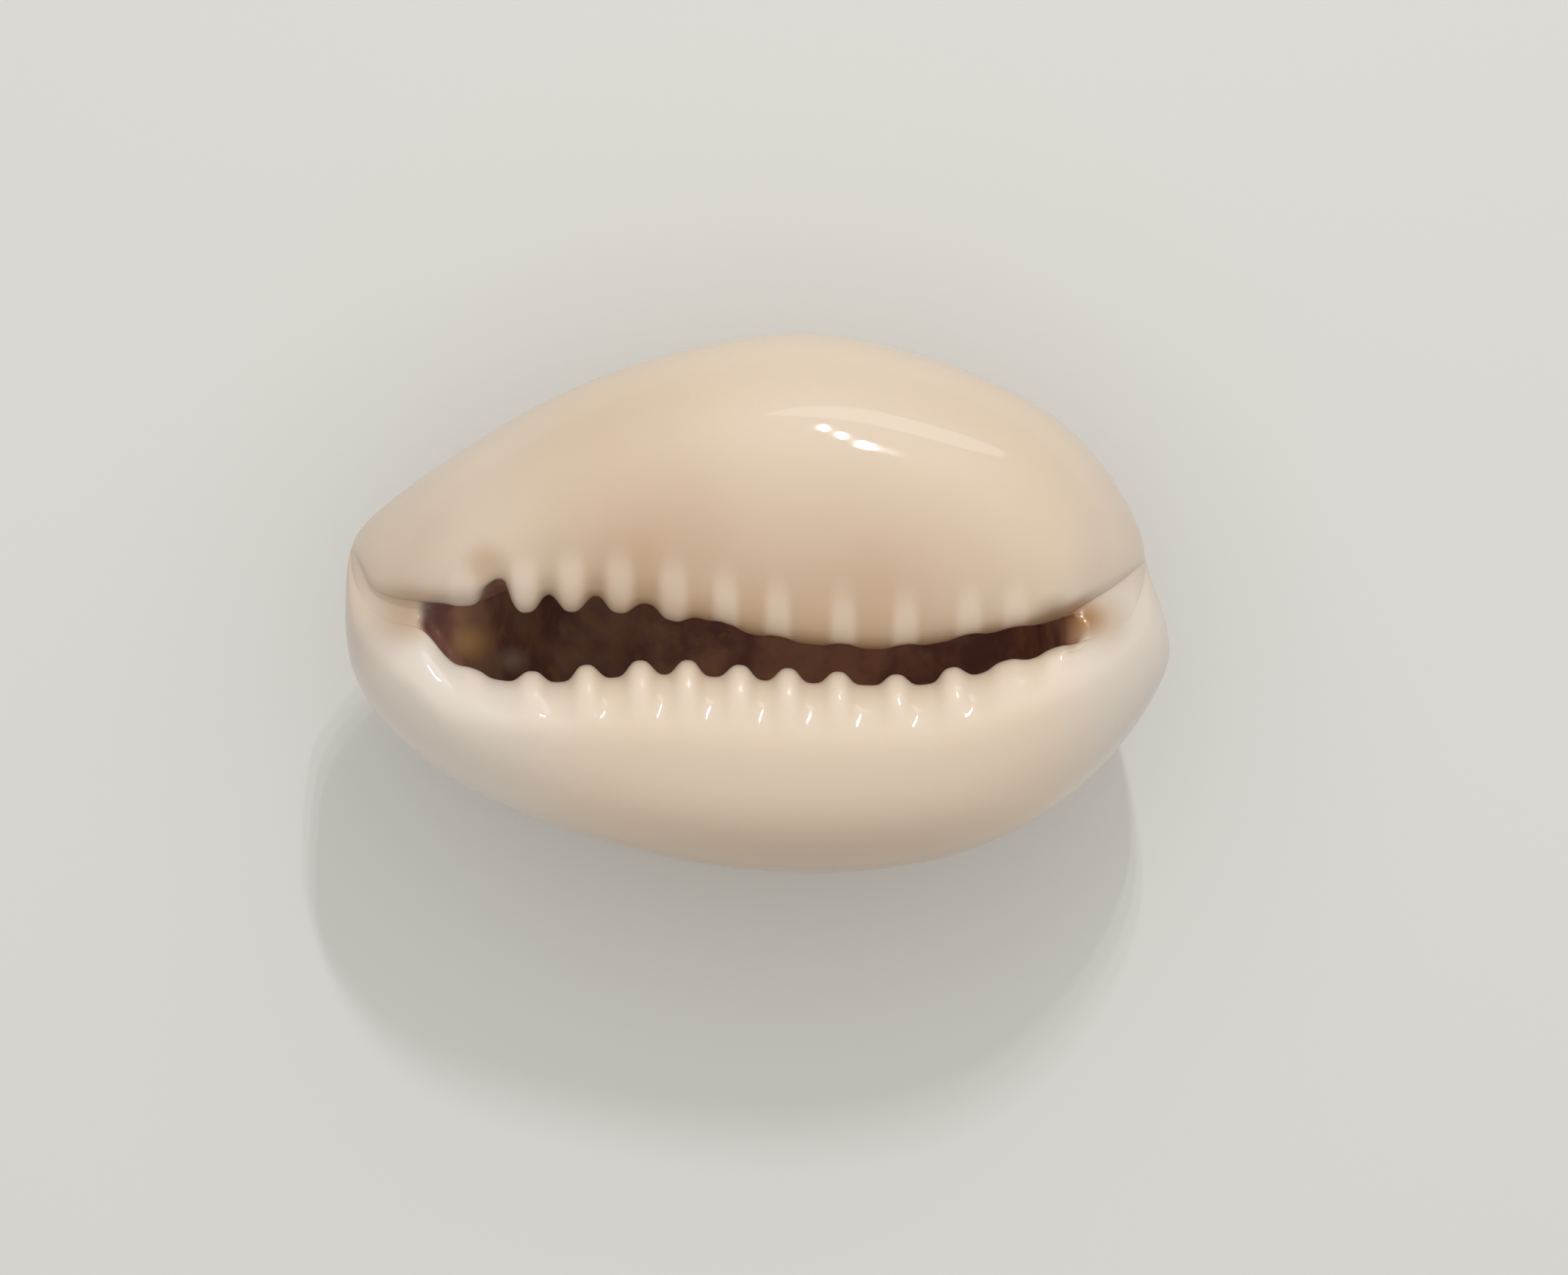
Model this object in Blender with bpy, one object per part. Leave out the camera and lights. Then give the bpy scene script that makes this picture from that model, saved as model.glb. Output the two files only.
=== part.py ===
"""Cowrie shell, lying on its back with its aperture up, as one closed solid.

The shell is a loft. Its guide lines run from the notch of the front canal to that of the rear canal, and
each section is one closed loop: round the outside, over the rolled outer lip, round the hollow whorl and
the roll of the columella, and back out over the inner lip.
"""

from collections import namedtuple

import bmesh
import bpy
import numpy as np

MM = 0.001

Row = namedtuple("Row", "start end across level canal tooth")

# Driving sizes in millimetres. The front end points along -X, and the outer lip is on the -Y side. The height
# is that of level 1 below, which the rounded base just falls short of
HEIGHT = 12.7
MARGIN_HEIGHT = 8.5
SPOT_SINK = 0.17

# Plan view: the two notches, and the widest line of each side from the front notch to the rear one
FRONT_NOTCH = (-12.34, 1.72)
REAR_NOTCH = (11.76, 1.28)
INNER_MARGIN = [(-12.1, 2.2), (-11.25, 3.03), (-8.75, 4.80), (-5.0, 6.79), (-1.25, 7.91), (1.25, 8.19),
                (3.75, 7.86), (7.5, 6.54), (10.0, 4.75), (11.3, 2.85), (11.7, 1.81)]
OUTER_MARGIN = [(-12.47, 1.1), (-12.52, 0.0), (-12.47, -1.2), (-12.1, -2.48), (-10.625, -4.38),
                (-7.5, -6.23), (-2.5, -7.77), (1.25, -8.18), (5.0, -7.88), (8.75, -6.38), (11.25, -4.0),
                (12.25, -2.36), (12.5, -1.27), (12.14, 0.2), (11.85, 0.95)]

# Plan view: the edges of the slot between its teeth, and of the canals at its ends
OUTER_LIP = [(-12.25, 0.8), (-11.85, 0.05), (-11.1, -0.6), (-10.1, -0.85), (-9.3, -1.67), (-8.1, -2.25),
             (-5.9, -2.38), (-3.0, -2.17), (0.2, -2.34), (3.5, -2.48), (5.4, -2.4), (7.9, -1.78),
             (9.2, -1.38), (10.0, -1.15), (10.8, -0.85), (11.4, -0.1), (11.68, 0.7)]
INNER_LIP = [(-12.1, 1.4), (-11.84, 0.95), (-11.6, 0.55), (-11.1, 0.28), (-10.2, 0.12), (-8.5, 0.10),
             (-6.2, 0.35), (-4.0, 0.19), (-2.0, -0.28), (0.0, -0.88), (2.5, -1.22), (4.3, -1.26),
             (6.9, -0.84), (9.0, -0.40), (9.9, 0.10), (10.9, 0.70), (11.5, 1.12)]

# Teeth of each lip: place along the shell, height and width. A negative height is a notch
TOOTH_POWER = 3
OUTER_TEETH = [(-8.5, 0.14, 0.40), (-6.75, 0.34, 0.42), (-5.1, 0.46, 0.42), (-3.5, 0.46, 0.42),
               (-2.1, 0.46, 0.40), (-0.55, 0.42, 0.42), (0.9, 0.42, 0.40), (2.4, 0.38, 0.40),
               (4.15, 0.34, 0.40), (5.85, 0.38, 0.42), (7.45, 0.18, 0.48), (8.9, 0.10, 0.42)]
INNER_TEETH = [(-8.8, 0.08, 0.45), (-7.83, -0.50, 0.38), (-7.68, -0.42, 0.24), (-6.95, 0.42, 0.47),
               (-5.55, 0.46, 0.47), (-4.1, 0.36, 0.47), (-2.5, 0.26, 0.47)]
INNER_RIDGES = [(-0.95, 0.10, 0.42), (0.6, 0.10, 0.42), (2.55, 0.10, 0.42), (4.4, 0.10, 0.42),
                (6.3, 0.09, 0.42), (7.7, 0.06, 0.42)]

# Roundness of the section above and below its widest line, and of the base from end to end
BASE_POWER = 2.4
DOME_POWER = 2.1
END_POWER = 6
BASE_ANGLES = [22, 38, 55, 73, 90]
DOME_ANGLES = [72, 54, 35, 17]

# Each lip rolls out from its edge to its brow: share of the way to the margin, level, level in a canal, and
# height of a tooth there
OUTER_ROLL = [
    (0.00, 0.70, 0.80, 1.00),
    (0.04, 0.80, 0.825, 0.75),
    (0.10, 0.868, 0.86, 0.36),
    (0.19, 0.922, 0.90, 0.13),
    (0.30, 0.965, 0.93, 0.05),
]
INNER_ROLL = [
    (0.00, 0.80, 0.80, 1.00),
    (0.04, 0.88, 0.90, 0.48),
    (0.09, 0.925, 0.95, 0.18),
    (0.16, 0.955, 0.975, 0.06),
    (0.25, 0.975, 0.985, 0.00),
]

# The hollow's wall from the inner lip round to the outer one: the two guide lines that a point lies between,
# its share of the way, its level, and a tooth's height. Level 1 is the base, 0 the widest line, -1 the back
HOLLOW = [
    ("inner lip", "inner margin", 0.00, 0.48, 1.0),
    ("inner lip", "inner margin", 0.03, -0.02, 0.2),
    ("inner lip", "inner margin", 0.18, -0.20, 0.0),
    ("inner lip", "inner margin", 0.44, -0.26, 0.0),
    ("inner lip", "inner margin", 0.68, -0.22, 0.0),
    ("inner lip", "inner margin", 0.81, -0.38, 0.0),
    ("spine", "inner margin", 0.57, -0.69, 0.0),
    ("spine", "inner margin", 0.20, -0.85, 0.0),
    ("spine", "outer margin", 0.20, -0.85, 0.0),
    ("spine", "outer margin", 0.55, -0.69, 0.0),
    ("spine", "outer margin", 0.76, -0.36, 0.0),
    ("outer lip", "outer margin", 0.70, 0.05, 0.0),
    ("outer lip", "outer margin", 0.58, 0.33, 0.0),
    ("outer lip", "outer margin", 0.34, 0.42, 0.2),
    ("outer lip", "outer margin", 0.12, 0.47, 0.6),
]

# Where the hollow has closed to a canal at each end, and over what length it closes
SLOT_FRONT = -10.3
SLOT_REAR = 9.9
FRONT_RAMP = 4.0
REAR_RAMP = 3.0

# A canal's bed: its levels below the inner and the outer lip, and its dip between them
CANAL_WALLS = (0.72, 0.79)
CANAL_DIP = 0.03

# The rear canal is shallower: its depth along the inner and the outer lip, as a share of the front one's
REAR_DEPTHS = (0.8, 0.4)

# Sections along the shell, and points round each
STATIONS = 86
AROUND = 56


def spline_matrix(knots, places, closed):
    """The matrix that turns values at the knots into values of a cubic spline at the places."""
    gaps = np.diff(knots)
    count = len(gaps) if closed else len(knots)
    bend_side = np.eye(count)
    value_side = np.zeros((count, count))
    for i in range(count) if closed else range(1, count - 1):
        before = gaps[i - 1]
        after = gaps[i]
        previous = (i - 1) % count
        following = (i + 1) % count
        bend_side[i, i] = 2 * (before + after)
        bend_side[i, previous] = before
        bend_side[i, following] = after
        value_side[i, i] = -6 / before - 6 / after
        value_side[i, previous] = 6 / before
        value_side[i, following] = 6 / after
    bends = np.linalg.solve(bend_side, value_side)
    cell = np.clip(np.searchsorted(knots, places, side="right") - 1, 0, len(gaps) - 1)
    gap = gaps[cell][:, None]
    high = (np.asarray(places)[:, None] - knots[cell][:, None]) / gap
    low = 1 - high
    values = np.eye(count)
    after = (cell + 1) % count
    straight = low * values[cell] + high * values[after]
    return straight + ((low**3 - low) * bends[cell] + (high**3 - high) * bends[after]) * gap**2 / 6


def lengths_along(points):
    steps = np.linalg.norm(np.diff(points, axis=0), axis=1)
    return np.concatenate([[0.0], np.cumsum(steps)])


def smooth_line(points, closed=False, samples=4000):
    """Samples of a spline through the points, and the sample that lies at each point."""
    points = np.array(points, float)
    ring = np.vstack([points, points[:1]]) if closed else points
    steps = np.linalg.norm(np.diff(ring, axis=0), axis=1)
    knots = np.concatenate([[0.0], np.cumsum(np.sqrt(steps))])
    places = np.linspace(0, knots[-1], samples)
    return spline_matrix(knots, places, closed) @ points, np.searchsorted(places, knots)


def read_along(line, shares):
    """Points at the given shares of a line's length."""
    lengths = lengths_along(line)
    wanted = np.asarray(shares) * lengths[-1]
    return np.column_stack([np.interp(wanted, lengths, line[:, axis]) for axis in range(line.shape[1])])


def base_height(x):
    """Height of the base over its length. It falls to the widest line at both notches."""
    middle = (FRONT_NOTCH[0] + REAR_NOTCH[0]) / 2
    reach = (REAR_NOTCH[0] - FRONT_NOTCH[0]) / 2
    from_middle = np.clip(np.abs(x - middle) / reach, 0, 1)
    return MARGIN_HEIGHT + (HEIGHT - MARGIN_HEIGHT) * np.sqrt(1 - from_middle**END_POWER)


def guide_lines(shares):
    """The lines that shape the shell in plan, read at shares of their lengths, and the height of its base."""
    ring, marks = smooth_line([FRONT_NOTCH, *INNER_MARGIN, REAR_NOTCH, *OUTER_MARGIN[::-1]], closed=True)
    rear = marks[len(INNER_MARGIN) + 1]
    lines = {
        "inner margin": read_along(ring[: rear + 1], shares),
        "outer margin": read_along(ring[rear:][::-1], shares),
    }
    lines["spine"] = (lines["inner margin"] + lines["outer margin"]) / 2
    heights = []
    for name, edge in (("inner lip", INNER_LIP), ("outer lip", OUTER_LIP)):
        plan, _ = smooth_line([FRONT_NOTCH, *edge, REAR_NOTCH])
        lip = read_along(np.column_stack([plan, base_height(plan[:, 0])]), shares)
        lines[name] = lip[:, :2]
        heights.append(lip[:, 2])
    return lines, sum(heights) / len(heights)


def smooth_step(value):
    value = np.clip(value, 0, 1)
    return value * value * (3 - 2 * value)


def side_rows(side, roll):
    """The rows of one side, from its lip edge over the base and the widest line to near the spine."""
    lip = side + " lip"
    margin = side + " margin"
    rows = [Row(lip, margin, across, level, (None, closed), tooth) for across, level, closed, tooth in roll]
    for angle in np.radians(BASE_ANGLES):
        across, level = np.array([np.sin(angle), np.cos(angle)]) ** (2 / BASE_POWER)
        rows.append(Row(lip, margin, across, level, None, 0.0))
    for angle in np.radians(DOME_ANGLES):
        across, level = np.array([np.sin(angle), np.cos(angle)]) ** (2 / DOME_POWER)
        rows.append(Row("spine", margin, across, -level, None, 0.0))
    return rows


def section_rows():
    """Every row of the section, in order round it from the outer lip's edge."""
    rows = side_rows("outer", OUTER_ROLL)
    rows.append(Row("spine", "spine", 0.0, -1.0, None, 0.0))
    rows += side_rows("inner", INNER_ROLL)[::-1]
    for order, (start, end, across, level, tooth) in enumerate(HOLLOW, 1):
        share = order / (len(HOLLOW) + 1)
        closed = np.interp(share, (0, 1), CANAL_WALLS) - CANAL_DIP * np.sin(np.pi * share)
        rows.append(Row(start, end, across, level, (share, closed), tooth))
    return rows


def guide_points(shares):
    """Every row's points along the shell, with the strength there of the teeth of each lip."""
    lines, base = guide_lines(shares)
    rise = base - MARGIN_HEIGHT
    fall = (MARGIN_HEIGHT + SPOT_SINK) * np.sin(np.pi * shares)
    x = (lines["inner lip"][:, 0] + lines["outer lip"][:, 0]) / 2
    hollow = smooth_step((x - SLOT_FRONT) / FRONT_RAMP) * smooth_step((SLOT_REAR - x) / REAR_RAMP)
    guides = []
    for row in section_rows():
        plan = lines[row.start] + row.across * (lines[row.end] - lines[row.start])
        height = (rise if row.level > 0 else fall) * row.level
        if row.canal:
            share, level = row.canal
            way = float(row.start == "outer lip") if share is None else share
            depth = np.where(x > 0, np.interp(way, (0, 1), REAR_DEPTHS), 1.0)
            height = height * hollow + rise * (1 - (1 - level) * depth) * (1 - hollow)
            if share is not None:
                canal = lines["inner lip"] + share * (lines["outer lip"] - lines["inner lip"])
                plan = plan * hollow[:, None] + canal * (1 - hollow[:, None])
        outer = row.tooth if row.start == "outer lip" else 0.0
        inner = row.tooth if row.start == "inner lip" else 0.0
        strengths = np.tile([outer, inner], (len(shares), 1))
        guides.append(np.column_stack([plan, MARGIN_HEIGHT + height, strengths]))
    return np.stack(guides)


def bumps(teeth, x):
    """The rounded bumps of a row of teeth, added up at the places x."""
    total = np.zeros_like(x)
    for place, height, width in teeth:
        total += height * np.exp(-(np.abs((x - place) / width) ** TOOTH_POWER))
    return total


def surface(stations, around):
    """The shell as a grid of points, station by station, without its two end points."""
    shares = np.linspace(0, 1, stations + 2)[1:-1]
    guides = guide_points(shares)
    middle = guides[:, stations // 2, :3]
    gaps = np.linalg.norm(np.roll(middle, -1, axis=0) - middle, axis=1)
    knots = np.concatenate([[0.0], np.cumsum(gaps)])
    detail = np.concatenate([[0.0], np.cumsum(np.sqrt(gaps))])
    places = np.interp(np.arange(around) / around * detail[-1], detail, knots)
    grid = np.einsum("vr,ruc->uvc", spline_matrix(knots, places, closed=True), guides)
    points, outer, inner = grid[:, :, :3], grid[:, :, 3], grid[:, :, 4]
    along = np.gradient(points, axis=0)
    across = np.roll(points, -1, axis=1) - np.roll(points, 1, axis=1)
    normals = np.cross(across, along)
    normals /= np.linalg.norm(normals, axis=2, keepdims=True)
    x = points[:, :, 0]
    lift = outer * bumps(OUTER_TEETH, x) + inner * bumps(INNER_TEETH, x)
    lift += inner * (1 - inner) * 4 * bumps(INNER_RIDGES, x)
    return points + normals * lift[:, :, None]


def shell_mesh(name):
    points = surface(STATIONS, AROUND)
    poles = [(*FRONT_NOTCH, MARGIN_HEIGHT), (*REAR_NOTCH, MARGIN_HEIGHT)]
    vertices = np.vstack([points.reshape(-1, 3), poles]) * MM
    index = np.arange(STATIONS * AROUND).reshape(STATIONS, AROUND)
    following = np.roll(index, -1, axis=1)
    faces = np.stack([index[:-1], following[:-1], following[1:], index[1:]], axis=-1).reshape(-1, 4).tolist()
    front = STATIONS * AROUND
    rear = front + 1
    faces += [(front, int(b), int(a)) for a, b in zip(index[0], following[0])]
    faces += [(rear, int(a), int(b)) for a, b in zip(index[-1], following[-1])]
    mesh = bpy.data.meshes.new(name)
    mesh.from_pydata(vertices.tolist(), [], faces)
    return mesh


def cut_flat_spot(mesh):
    """The back is cut off at z = 0, so that the shell rests on a small flat spot."""
    work = bmesh.new()
    work.from_mesh(mesh)
    everything = work.verts[:] + work.edges[:] + work.faces[:]
    level = {"plane_co": (0, 0, 0), "plane_no": (0, 0, 1)}
    cut = bmesh.ops.bisect_plane(work, geom=everything, clear_inner=True, **level)
    edges = [item for item in cut["geom_cut"] if isinstance(item, bmesh.types.BMEdge)]
    bmesh.ops.contextual_create(work, geom=edges)
    bmesh.ops.recalc_face_normals(work, faces=work.faces[:])
    work.to_mesh(mesh)
    work.free()


def enamel(name):
    material = bpy.data.materials.new(name)
    material.use_nodes = True
    shader = material.node_tree.nodes["Principled BSDF"]
    shader.inputs["Base Color"].default_value = (0.68, 0.56, 0.42, 1)
    shader.inputs["Roughness"].default_value = 0.25
    shader.inputs["Metallic"].default_value = 0.0
    return material


def build():
    for item in list(bpy.data.objects):
        bpy.data.objects.remove(item)
    collection = bpy.data.collections.new("cowrie shell")
    bpy.context.scene.collection.children.link(collection)
    mesh = shell_mesh("shell")
    cut_flat_spot(mesh)
    mesh.shade_smooth()
    mesh.materials.append(enamel("cowrie enamel"))
    collection.objects.link(bpy.data.objects.new("shell", mesh))


build()
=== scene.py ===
# %% [markdown]
# # A cowrie shell on its back
#
# A cowrie is a snail's shell that has rolled itself up until only a toothed slot is left. This one lies on
# its rounded back, so the slot faces the camera. The script keeps the solid model as its frame, makes a
# finer shell in the same place, and gives it the polished enamel that the living snail lays down.

# %% Load the frame
from collections import namedtuple

import bpy
import numpy as np
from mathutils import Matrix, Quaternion, Vector


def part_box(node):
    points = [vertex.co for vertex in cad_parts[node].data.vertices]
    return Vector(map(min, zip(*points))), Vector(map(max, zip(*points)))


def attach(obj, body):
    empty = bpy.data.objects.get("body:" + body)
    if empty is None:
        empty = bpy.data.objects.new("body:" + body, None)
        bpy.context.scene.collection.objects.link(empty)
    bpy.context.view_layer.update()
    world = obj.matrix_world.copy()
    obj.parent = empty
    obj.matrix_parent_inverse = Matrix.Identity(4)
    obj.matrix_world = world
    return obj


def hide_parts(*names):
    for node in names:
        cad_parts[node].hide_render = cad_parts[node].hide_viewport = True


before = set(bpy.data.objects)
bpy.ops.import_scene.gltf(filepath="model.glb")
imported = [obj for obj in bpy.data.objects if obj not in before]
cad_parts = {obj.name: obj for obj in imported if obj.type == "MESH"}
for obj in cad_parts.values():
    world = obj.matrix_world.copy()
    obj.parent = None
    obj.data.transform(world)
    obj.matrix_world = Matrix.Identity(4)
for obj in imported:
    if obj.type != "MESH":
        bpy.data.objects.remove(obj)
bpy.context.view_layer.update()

MM = 0.001

low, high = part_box("shell")
print("solid shell, mm:", [round((b - a) / MM, 2) for a, b in zip(low, high)])

# %% [markdown]
# ## The plan of the shell
#
# Everything that gives a cowrie its look from the front can be drawn in plan: the widest line of each side,
# which runs from the notch of the front canal to that of the rear canal, and the two edges of the slot.
# A few points on each line are enough, because a spline rounds them off as growth does. Sizes here are in
# millimetres. The front end points to -X, and the outer lip is on the -Y side.

# %% Driving sizes and plan lines
# Heights of the base and of the widest line, and how far the round back would sink if it weren't cut flat
HEIGHT = 12.7
MARGIN_HEIGHT = 8.5
SPOT_SINK = 0.17

FRONT_NOTCH = (-12.34, 1.72)
REAR_NOTCH = (11.76, 1.28)
INNER_MARGIN = [(-12.1, 2.2), (-11.25, 3.03), (-8.75, 4.80), (-5.0, 6.79), (-1.25, 7.91), (1.25, 8.19),
                (3.75, 7.86), (7.5, 6.54), (10.0, 4.75), (11.3, 2.85), (11.7, 1.81)]
OUTER_MARGIN = [(-12.47, 1.1), (-12.52, 0.0), (-12.47, -1.2), (-12.1, -2.48), (-10.625, -4.38),
                (-7.5, -6.23), (-2.5, -7.77), (1.25, -8.18), (5.0, -7.88), (8.75, -6.38), (11.25, -4.0),
                (12.25, -2.36), (12.5, -1.27), (12.14, 0.2), (11.85, 0.95)]
OUTER_LIP = [(-12.25, 0.8), (-11.85, 0.05), (-11.1, -0.6), (-10.1, -0.85), (-9.3, -1.67), (-8.1, -2.25),
             (-5.9, -2.38), (-3.0, -2.17), (0.2, -2.34), (3.5, -2.48), (5.4, -2.4), (7.9, -1.78),
             (9.2, -1.38), (10.0, -1.15), (10.8, -0.85), (11.4, -0.1), (11.68, 0.7)]
INNER_LIP = [(-12.1, 1.4), (-11.84, 0.95), (-11.6, 0.55), (-11.1, 0.28), (-10.2, 0.12), (-8.5, 0.10),
             (-6.2, 0.35), (-4.0, 0.19), (-2.0, -0.28), (0.0, -0.88), (2.5, -1.22), (4.3, -1.26),
             (6.9, -0.84), (9.0, -0.40), (9.9, 0.10), (10.9, 0.70), (11.5, 1.12)]

# %% [markdown]
# ## Splines as matrices
#
# A cubic spline's points depend on its knots in a straight-line way, so a whole spline is one matrix. The
# matrix is worked out once and then drawn through every row of the shell at the same time. A closed spline
# has no seam, which matters on a glossy thing, where a kink would show in the reflections.

# %% Spline helpers
def spline_matrix(knots, places, closed):
    """The matrix that turns values at the knots into values of a cubic spline at the places."""
    gaps = np.diff(knots)
    count = len(gaps) if closed else len(knots)
    bend_side = np.eye(count)
    value_side = np.zeros((count, count))
    for i in range(count) if closed else range(1, count - 1):
        before = gaps[i - 1]
        after = gaps[i]
        previous = (i - 1) % count
        following = (i + 1) % count
        bend_side[i, i] = 2 * (before + after)
        bend_side[i, previous] = before
        bend_side[i, following] = after
        value_side[i, i] = -6 / before - 6 / after
        value_side[i, previous] = 6 / before
        value_side[i, following] = 6 / after
    bends = np.linalg.solve(bend_side, value_side)
    cell = np.clip(np.searchsorted(knots, places, side="right") - 1, 0, len(gaps) - 1)
    gap = gaps[cell][:, None]
    high = (np.asarray(places)[:, None] - knots[cell][:, None]) / gap
    low = 1 - high
    values = np.eye(count)
    after = (cell + 1) % count
    straight = low * values[cell] + high * values[after]
    return straight + ((low**3 - low) * bends[cell] + (high**3 - high) * bends[after]) * gap**2 / 6


def smooth_line(points, closed=False, samples=4000):
    """Samples of a spline through the points, and the sample that lies at each point."""
    points = np.array(points, float)
    ring = np.vstack([points, points[:1]]) if closed else points
    steps = np.linalg.norm(np.diff(ring, axis=0), axis=1)
    knots = np.concatenate([[0.0], np.cumsum(np.sqrt(steps))])
    places = np.linspace(0, knots[-1], samples)
    return spline_matrix(knots, places, closed) @ points, np.searchsorted(places, knots)


def read_along(line, shares):
    """Points at the given shares of a line's length."""
    steps = np.linalg.norm(np.diff(line, axis=0), axis=1)
    lengths = np.concatenate([[0.0], np.cumsum(steps)])
    wanted = np.asarray(shares) * lengths[-1]
    return np.column_stack([np.interp(wanted, lengths, line[:, axis]) for axis in range(line.shape[1])])


# %% [markdown]
# ## The section
#
# Cut the shell across and the cut is one closed loop: over the outer lip, round the margin, under the back,
# up the other margin, over the base, down the inner lip and round the hollow. Each row below is a point of
# that loop, placed between two plan lines and at a level: 1 is the base, 0 the widest line and -1 the back.
# The spine is the plan line along the middle of the back. At the two ends the hollow closes to a canal, so
# rows near the slot also say where they lie in a canal. The form could be sculpted too, but with rows each
# part of the section has its own line of numbers, and one change runs smoothly along the whole shell.

# %% Rows of the section
# Canal holds where a row lies across a canal, or None where it keeps its place, and its level there
Row = namedtuple("Row", "start end across level canal tooth stripe inside")

# Roundness of the base and the back across the shell, and of the base's height along it
BASE_POWER = 2.4
DOME_POWER = 2.1
END_POWER = 6

# Degrees from the lip to the widest line, and from the widest line to the spine
BASE_ANGLES = [22, 38, 55, 73, 90]
DOME_ANGLES = [72, 54, 35, 17]

# Each row of a lip: across, level, level in a canal, share of a tooth's height, strength of its pale
# stripe, and share of the inside colour
OUTER_ROLL = [
    (0.00, 0.70, 0.80, 1.00, 1.0, 0.15),
    (0.04, 0.80, 0.825, 0.75, 1.0, 0.0),
    (0.10, 0.868, 0.86, 0.36, 0.8, 0.0),
    (0.19, 0.922, 0.90, 0.13, 0.4, 0.0),
    (0.30, 0.965, 0.93, 0.05, 0.1, 0.0),
]
INNER_ROLL = [
    (0.00, 0.80, 0.80, 1.00, 1.0, 0.15),
    (0.04, 0.88, 0.90, 0.48, 1.0, 0.0),
    (0.09, 0.925, 0.95, 0.18, 0.9, 0.0),
    (0.16, 0.955, 0.975, 0.06, 0.5, 0.0),
    (0.25, 0.975, 0.985, 0.00, 0.1, 0.0),
]

# Each row of the hollow: two lines, across, level, share of a tooth and its stripe, share of inside colour
HOLLOW = [
    ("inner lip", "inner margin", 0.00, 0.48, 1.0, 0.35),
    ("inner lip", "inner margin", 0.03, -0.02, 0.2, 0.75),
    ("inner lip", "inner margin", 0.18, -0.20, 0.0, 1.0),
    ("inner lip", "inner margin", 0.44, -0.26, 0.0, 1.0),
    ("inner lip", "inner margin", 0.68, -0.22, 0.0, 1.0),
    ("inner lip", "inner margin", 0.81, -0.38, 0.0, 1.0),
    ("spine", "inner margin", 0.57, -0.69, 0.0, 1.0),
    ("spine", "inner margin", 0.20, -0.85, 0.0, 1.0),
    ("spine", "outer margin", 0.20, -0.85, 0.0, 1.0),
    ("spine", "outer margin", 0.55, -0.69, 0.0, 1.0),
    ("spine", "outer margin", 0.76, -0.36, 0.0, 1.0),
    ("outer lip", "outer margin", 0.70, 0.05, 0.0, 1.0),
    ("outer lip", "outer margin", 0.58, 0.33, 0.0, 1.0),
    ("outer lip", "outer margin", 0.34, 0.42, 0.2, 1.0),
    ("outer lip", "outer margin", 0.12, 0.47, 0.6, 0.8),
]

# Level of a canal's bed at the inner and the outer lip, and how much lower it is between them
CANAL_WALLS = (0.72, 0.79)
CANAL_DIP = 0.03

# The rear canal is shallower: its depth along the inner and the outer lip, as a share of the front one's
REAR_DEPTHS = (0.8, 0.4)


def side_rows(side, roll):
    """The rows of one side, from its lip edge over the base and the widest line to near the spine."""
    lip = side + " lip"
    margin = side + " margin"
    rows = [Row(lip, margin, across, level, (None, closed), tooth, stripe, inside)
            for across, level, closed, tooth, stripe, inside in roll]
    for angle in np.radians(BASE_ANGLES):
        across, level = np.array([np.sin(angle), np.cos(angle)]) ** (2 / BASE_POWER)
        rows.append(Row(lip, margin, across, level, None, 0.0, 0.0, 0.0))
    for angle in np.radians(DOME_ANGLES):
        across, level = np.array([np.sin(angle), np.cos(angle)]) ** (2 / DOME_POWER)
        rows.append(Row("spine", margin, across, -level, None, 0.0, 0.0, 0.0))
    return rows


def section_rows():
    """Every row of the section, in order round it from the outer lip's edge."""
    rows = side_rows("outer", OUTER_ROLL)
    rows.append(Row("spine", "spine", 0.0, -1.0, None, 0.0, 0.0, 0.0))
    rows += side_rows("inner", INNER_ROLL)[::-1]
    for order, (start, end, across, level, tooth, inside) in enumerate(HOLLOW, 1):
        share = order / (len(HOLLOW) + 1)
        closed = np.interp(share, (0, 1), CANAL_WALLS) - CANAL_DIP * np.sin(np.pi * share)
        rows.append(Row(start, end, across, level, (share, closed), tooth, tooth, inside))
    return rows


print("rows round the section:", len(section_rows()))

# %% [markdown]
# ## From rows to guide lines
#
# Each row becomes a line along the shell. The lines are read at even shares of their own length, so they
# spread out like the meridians of a globe and meet at the two notches without a pinch. The hollow fades in
# and out near the ends, where the real shell is thick.

# %% Guide lines along the shell
# The hollow's two ends, and the lengths over which it opens up from them
SLOT_FRONT = -10.3
SLOT_REAR = 9.9
FRONT_RAMP = 4.0
REAR_RAMP = 3.0


def base_height(x):
    """Height of the base over its length. It falls to the widest line at both notches."""
    middle = (FRONT_NOTCH[0] + REAR_NOTCH[0]) / 2
    reach = (REAR_NOTCH[0] - FRONT_NOTCH[0]) / 2
    from_middle = np.clip(np.abs(x - middle) / reach, 0, 1)
    return MARGIN_HEIGHT + (HEIGHT - MARGIN_HEIGHT) * np.sqrt(1 - from_middle**END_POWER)


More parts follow.
